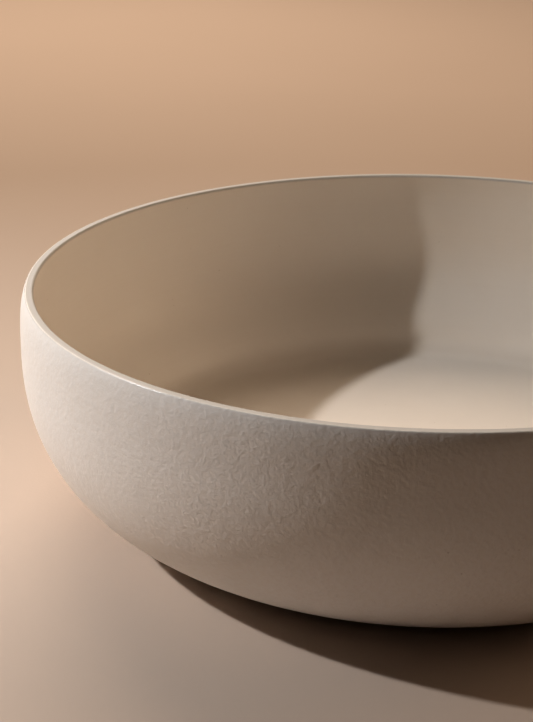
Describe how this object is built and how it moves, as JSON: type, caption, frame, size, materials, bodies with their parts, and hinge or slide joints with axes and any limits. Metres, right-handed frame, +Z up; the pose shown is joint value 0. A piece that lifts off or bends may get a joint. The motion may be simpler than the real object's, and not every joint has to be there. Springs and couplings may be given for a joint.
{
  "type": "porcelain serving bowl",
  "caption": "Low round porcelain serving bowl with a soft belly, rolled-in lip, flat coved floor and bare foot ring, smooth glaze inside and pebbled matte glaze outside.",
  "frame": {"origin": "centre of the plane that the foot ring rests on", "axes": "+Z up along the bowl's axis of revolution; X and Y are interchangeable directions in the resting plane"},
  "size_m": [0.3044, 0.3044, 0.09],
  "materials": {
    "fired_clay": "bare fired porcelain, hidden under the glaze",
    "bare_foot": "bare fired porcelain, wiped and lightly sanded",
    "matte_outside_glaze": "matte cream glaze with a fine pebbled skin",
    "satin_inside_glaze": "smooth satin cream glaze with faint turning rings and fine specks",
    "base_glaze": "smooth satin cream glaze"
  },
  "bodies": {
    "root": {"clay_body": "fired_clay", "foot_ring": "bare_foot", "outside_glaze": "matte_outside_glaze", "inside_glaze": "satin_inside_glaze", "base_glaze": "base_glaze"}
  },
  "joints": []
}
